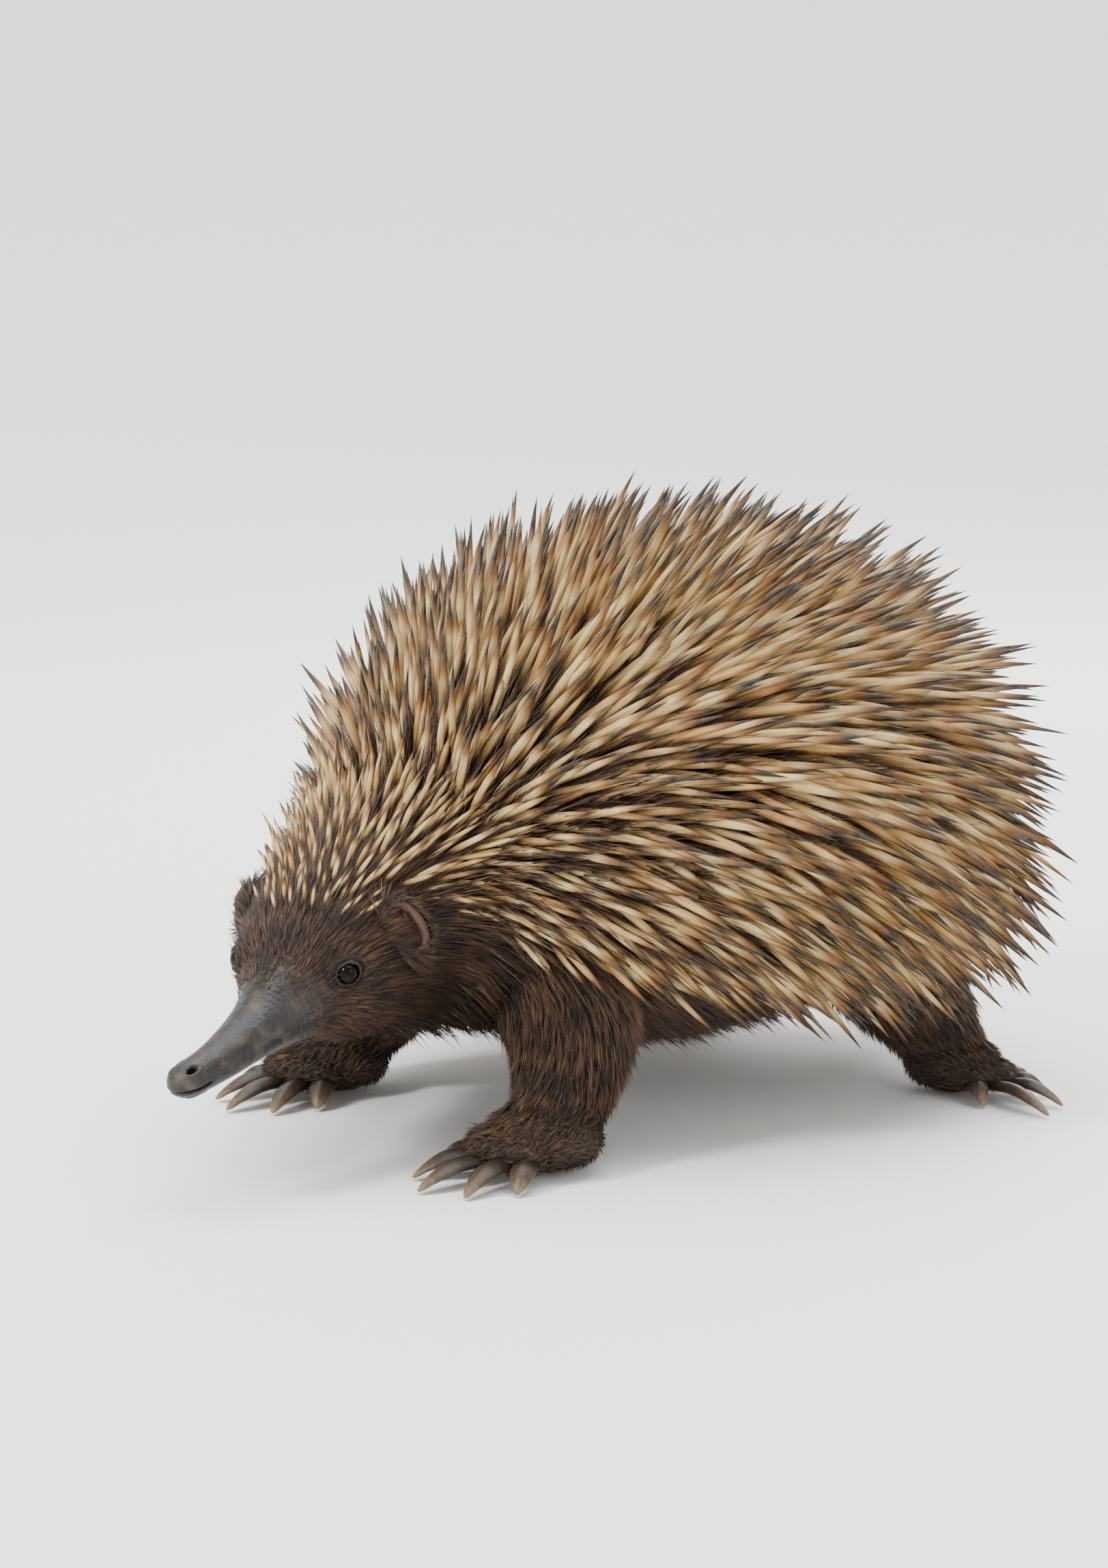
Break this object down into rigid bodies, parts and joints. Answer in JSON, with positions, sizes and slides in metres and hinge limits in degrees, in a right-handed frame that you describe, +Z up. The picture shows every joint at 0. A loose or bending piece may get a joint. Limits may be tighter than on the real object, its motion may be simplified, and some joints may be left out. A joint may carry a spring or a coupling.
{
  "type": "short-beaked echidna",
  "caption": "Life-size still model of a standing echidna: domed spiny body, slender tubular beak, low head turned to its left, clawed feet.",
  "frame": {"origin": "on the floor, under the centre of the animal's bounding box", "axes": "+Z up, the body faces -Y, the animal's left side is +X"},
  "size_m": [0.283, 0.399, 0.2323],
  "materials": {
    "spiny_coat": "cream keratin spines with dark tips over dark brown fur",
    "fur": "short bristly dark brown fur",
    "beak_skin": "bare dark grey leathery skin, slightly moist at the tip",
    "claw_horn": "worn satin horn",
    "eye": "wet black"
  },
  "bodies": {
    "root": {"beak": "beak_skin", "ear_left": "fur", "ear_right": "fur", "eye_left": "eye", "eye_right": "eye", "foreclaw_left_1": "claw_horn", "foreclaw_left_2": "claw_horn", "foreclaw_left_3": "claw_horn", "foreclaw_left_4": "claw_horn", "foreclaw_left_5": "claw_horn", "foreclaw_right_1": "claw_horn", "foreclaw_right_2": "claw_horn", "foreclaw_right_3": "claw_horn", "foreclaw_right_4": "claw_horn", "foreclaw_right_5": "claw_horn", "foreleg_left": "fur", "foreleg_right": "fur", "head": "fur", "hindclaw_left_1": "claw_horn", "hindclaw_left_2": "claw_horn", "hindclaw_left_3": "claw_horn", "hindclaw_left_4": "claw_horn", "hindclaw_left_5": "claw_horn", "hindclaw_right_1": "claw_horn", "hindclaw_right_2": "claw_horn", "hindclaw_right_3": "claw_horn", "hindclaw_right_4": "claw_horn", "hindclaw_right_5": "claw_horn", "hindleg_left": "fur", "hindleg_right": "fur", "neck": "spiny_coat", "rump": "spiny_coat", "tail": "fur", "torso": "spiny_coat"}
  },
  "joints": []
}
